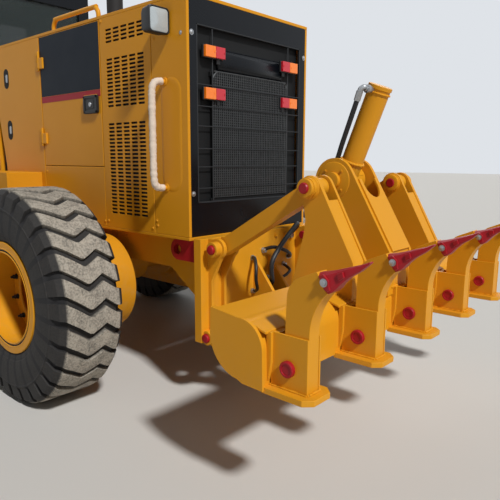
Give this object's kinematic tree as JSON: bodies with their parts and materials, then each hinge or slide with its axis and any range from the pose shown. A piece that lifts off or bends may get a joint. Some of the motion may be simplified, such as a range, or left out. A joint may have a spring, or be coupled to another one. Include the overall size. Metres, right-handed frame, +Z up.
{
  "type": "articulated motor grader with rear ripper",
  "caption": "Articulated grader with a turning blade under its long neck, leaning front wheels, a closed cab and a rear ripper raised on a parallel linkage.",
  "frame": {"origin": "middle of the whole machine's footprint, at ground level", "axes": "+X forward, +Y to the machine's left, +Z up"},
  "size_m": [10.08, 3.658, 3.256],
  "materials": {
    "paint": "semi-gloss",
    "black_panel": "gloss",
    "red_paint": "semi-gloss",
    "dark_metal": "matt",
    "rod_steel": "polished",
    "worn_steel": "worn",
    "tyre": "matt",
    "grip": "matt",
    "lens": "gloss",
    "trim": "matt",
    "glass": "clear"
  },
  "bodies": {
    "rear": {"rear_frame": "paint", "tandems": "paint", "engine": "dark_metal", "hood_top": "paint", "side_panels": "paint", "rear_panel": "black_panel", "rear_lights": "lens", "grab_handles": "grip", "hood_stacks": "dark_metal", "ripper_mount": "paint", "tow_lugs": "red_paint"},
    "engine_door_left": {"engine_door_left": "paint"},
    "engine_door_right": {"engine_door_right": "paint"},
    "ripper_arms": {"ripper_arms": "paint"},
    "ripper_links": {"ripper_links": "paint"},
    "ripper_beam": {"ripper_beam": "paint", "ripper_shanks": "paint", "ripper_teeth": "red_paint"},
    "ripper_cylinder": {"ripper_cylinder": "paint"},
    "ripper_rod": {"ripper_rod": "rod_steel"},
    "front": {"front_frame": "paint", "cab_frame": "paint", "cab_glass": "glass", "cab_interior": "trim", "headlamps": "trim", "front_axle": "paint"},
    "cab_door_left": {"cab_door_left": "paint", "door_glass_left": "glass"},
    "cab_door_right": {"cab_door_right": "paint", "door_glass_right": "glass"},
    "knuckle_left": {"knuckle_left": "paint"},
    "knuckle_right": {"knuckle_right": "paint"},
    "spindle_left": {"spindle_left": "paint"},
    "spindle_right": {"spindle_right": "paint"},
    "lean_bar": {"lean_bar": "paint"},
    "tie_rod": {"tie_rod": "worn_steel"},
    "drawbar_swivel": {"drawbar_ball": "worn_steel"},
    "drawbar": {"drawbar": "paint"},
    "circle": {"circle_ring": "paint"},
    "blade_carriage": {"blade_carriage": "paint"},
    "moldboard": {"moldboard": "worn_steel"},
    "lift_cylinder_left": {"lift_cylinder_left": "paint"},
    "lift_cylinder_right": {"lift_cylinder_right": "paint"},
    "lift_rod_left": {"lift_rod_left": "rod_steel"},
    "lift_rod_right": {"lift_rod_right": "rod_steel"},
    "shift_cylinder": {"shift_cylinder": "paint"},
    "shift_rod": {"shift_rod": "rod_steel"},
    "wheel_rear_left": {"tyre_rear_left": "tyre", "rim_rear_left": "paint"},
    "wheel_rear_right": {"tyre_rear_right": "tyre", "rim_rear_right": "paint"},
    "wheel_mid_left": {"tyre_mid_left": "tyre", "rim_mid_left": "paint"},
    "wheel_mid_right": {"tyre_mid_right": "tyre", "rim_mid_right": "paint"},
    "wheel_front_left": {"tyre_front_left": "tyre", "rim_front_left": "paint"},
    "wheel_front_right": {"tyre_front_right": "tyre", "rim_front_right": "paint"}
  },
  "joints": [
    {"name": "engine_door_left", "type": "hinge", "parent": "rear", "child": "engine_door_left", "pos_m": [-1.87, 0.584, 1.7], "axis": [0, 0, -1], "range_deg": [0, 110]},
    {"name": "engine_door_right", "type": "hinge", "parent": "rear", "child": "engine_door_right", "pos_m": [-1.87, -0.584, 1.7], "axis": [0, 0, 1], "range_deg": [0, 110]},
    {"name": "spin_rear_left", "type": "hinge", "parent": "rear", "child": "wheel_rear_left", "pos_m": [-2.66, 1.1, 0.675], "axis": [0, 1, 0], "continuous": true},
    {"name": "spin_rear_right", "type": "hinge", "parent": "rear", "child": "wheel_rear_right", "pos_m": [-2.66, -1.1, 0.675], "axis": [0, 1, 0], "continuous": true},
    {"name": "spin_mid_left", "type": "hinge", "parent": "rear", "child": "wheel_mid_left", "pos_m": [-1.137, 1.1, 0.675], "axis": [0, 1, 0], "continuous": true},
    {"name": "spin_mid_right", "type": "hinge", "parent": "rear", "child": "wheel_mid_right", "pos_m": [-1.137, -1.1, 0.675], "axis": [0, 1, 0], "continuous": true},
    {"name": "ripper_lift", "type": "hinge", "parent": "rear", "child": "ripper_arms", "pos_m": [-3.65, 0, 0.45], "axis": [0, -1, 0], "range_deg": [0, 60.6]},
    {"name": "ripper_links", "type": "hinge", "parent": "rear", "child": "ripper_links", "pos_m": [-3.7, 0, 1], "axis": [0, -1, 0], "range_deg": [0, 60.6]},
    {"name": "ripper_beam", "type": "hinge", "parent": "ripper_arms", "child": "ripper_beam", "pos_m": [-4.30963, 0, 0.83546], "axis": [0, 1, 0], "range_deg": [0, 60.6]},
    {"name": "ripper_cylinder", "type": "hinge", "parent": "ripper_beam", "child": "ripper_cylinder", "pos_m": [-4.257, 0, 1.41], "axis": [0, -1, 0], "range_deg": [0, 43.15]},
    {"name": "ripper_rod", "type": "slide", "parent": "ripper_cylinder", "child": "ripper_rod", "axis": [-0.3689, 0, 0.9295], "range_m": [0, 0.6067]},
    {"name": "articulation", "type": "hinge", "parent": "rear", "child": "front", "pos_m": [-0.71, 0, 0.845], "axis": [0, 0, 1], "range_deg": [-20, 20]},
    {"name": "cab_door_left", "type": "hinge", "parent": "front", "child": "cab_door_left", "pos_m": [-0.33, 0.75, 2.19], "axis": [0, 0, 1], "range_deg": [0, 90]},
    {"name": "cab_door_right", "type": "hinge", "parent": "front", "child": "cab_door_right", "pos_m": [-0.33, -0.75, 2.19], "axis": [0, 0, -1], "range_deg": [0, 90]},
    {"name": "lean_left", "type": "hinge", "parent": "front", "child": "knuckle_left", "pos_m": [4.1875, 0.76, 0.64], "axis": [-1, 0, 0], "range_deg": [-18, 18]},
    {"name": "steer_left", "type": "hinge", "parent": "knuckle_left", "child": "spindle_left", "pos_m": [4.1875, 0.868, 0.64], "axis": [0, 0, 1], "range_deg": [-47.5, 47.5]},
    {"name": "spin_front_left", "type": "hinge", "parent": "spindle_left", "child": "wheel_front_left", "pos_m": [4.1875, 1.1, 0.675], "axis": [0, 1, 0], "continuous": true},
    {"name": "lean_right", "type": "hinge", "parent": "front", "child": "knuckle_right", "pos_m": [4.1875, -0.76, 0.64], "axis": [-1, 0, 0], "range_deg": [-18, 18]},
    {"name": "steer_right", "type": "hinge", "parent": "knuckle_right", "child": "spindle_right", "pos_m": [4.1875, -0.868, 0.64], "axis": [0, 0, 1], "range_deg": [-47.5, 47.5]},
    {"name": "spin_front_right", "type": "hinge", "parent": "spindle_right", "child": "wheel_front_right", "pos_m": [4.1875, -1.1, 0.675], "axis": [0, 1, 0], "continuous": true},
    {"name": "lean_bar", "type": "hinge", "parent": "knuckle_left", "child": "lean_bar", "pos_m": [4.1875, 0.76, 0.96], "axis": [-1, 0, 0], "range_deg": [-18, 18]},
    {"name": "tie_rod", "type": "slide", "parent": "front", "child": "tie_rod", "axis": [0, 1, 0], "range_m": [-0.093, 0.093]},
    {"name": "drawbar_swing", "type": "hinge", "parent": "front", "child": "drawbar_swivel", "pos_m": [3.82, 0, 0.98], "axis": [0, 0, 1], "range_deg": [-12, 12]},
    {"name": "drawbar_lift", "type": "hinge", "parent": "drawbar_swivel", "child": "drawbar", "pos_m": [3.82, 0, 0.98], "axis": [0, 1, 0], "range_deg": [-18, 11]},
    {"name": "circle_turn", "type": "hinge", "parent": "drawbar", "child": "circle", "pos_m": [1.86, 0, 0.89], "axis": [0, 0, 1], "continuous": true},
    {"name": "blade_tip", "type": "hinge", "parent": "circle", "child": "blade_carriage", "pos_m": [1.425, 0, 0.33], "axis": [0, 1, 0], "range_deg": [-5, 40]},
    {"name": "blade_shift", "type": "slide", "parent": "blade_carriage", "child": "moldboard", "axis": [0, -1, 0], "range_m": [-0.66, 0.51]},
    {"name": "lift_cylinder_left", "type": "hinge", "parent": "front", "child": "lift_cylinder_left", "pos_m": [1.99, 0.56, 2.15], "axis": [1, 0, 0], "range_deg": [-20.93, 20.93]},
    {"name": "lift_rod_left", "type": "slide", "parent": "lift_cylinder_left", "child": "lift_rod_left", "axis": [0, 0, -1], "range_m": [-0.3476, 0.5675]},
    {"name": "lift_cylinder_right", "type": "hinge", "parent": "front", "child": "lift_cylinder_right", "pos_m": [1.99, -0.56, 2.15], "axis": [1, 0, 0], "range_deg": [-20.93, 20.93]},
    {"name": "lift_rod_right", "type": "slide", "parent": "lift_cylinder_right", "child": "lift_rod_right", "axis": [0, 0, -1], "range_m": [-0.3476, 0.5675]},
    {"name": "shift_cylinder", "type": "hinge", "parent": "front", "child": "shift_cylinder", "pos_m": [2.19, -0.66, 1.46], "axis": [1, 0, 0], "range_deg": [-23.3, 14.28]},
    {"name": "shift_rod", "type": "slide", "parent": "shift_cylinder", "child": "shift_rod", "axis": [0, 0.9864, -0.1644], "range_m": [-0.3359, 0.3359]}
  ],
  "couplings": [
    {"joint": "ripper_links", "follows": "ripper_lift", "ratio": 1},
    {"joint": "ripper_beam", "follows": "ripper_lift", "ratio": 1},
    {"joint": "ripper_cylinder", "follows": "ripper_lift", "ratio": 0.70868},
    {"joint": "ripper_rod", "follows": "ripper_lift", "m_per_rad": 0.57173},
    {"joint": "lean_right", "follows": "lean_left", "ratio": 1},
    {"joint": "lean_bar", "follows": "lean_left", "ratio": -1},
    {"joint": "steer_right", "follows": "steer_left", "ratio": 1},
    {"joint": "tie_rod", "follows": "steer_left", "m_per_rad": -0.111},
    {"joint": "lift_cylinder_left", "follows": "drawbar_swing", "ratio": -1.7359},
    {"joint": "lift_rod_left", "follows": "drawbar_lift", "m_per_rad": -1.8},
    {"joint": "lift_cylinder_right", "follows": "drawbar_swing", "ratio": -1.7359},
    {"joint": "lift_rod_right", "follows": "drawbar_lift", "m_per_rad": -1.8},
    {"joint": "shift_cylinder", "follows": "drawbar_lift", "ratio": 1.289},
    {"joint": "shift_rod", "follows": "drawbar_swing", "m_per_rad": -1.5941}
  ]
}
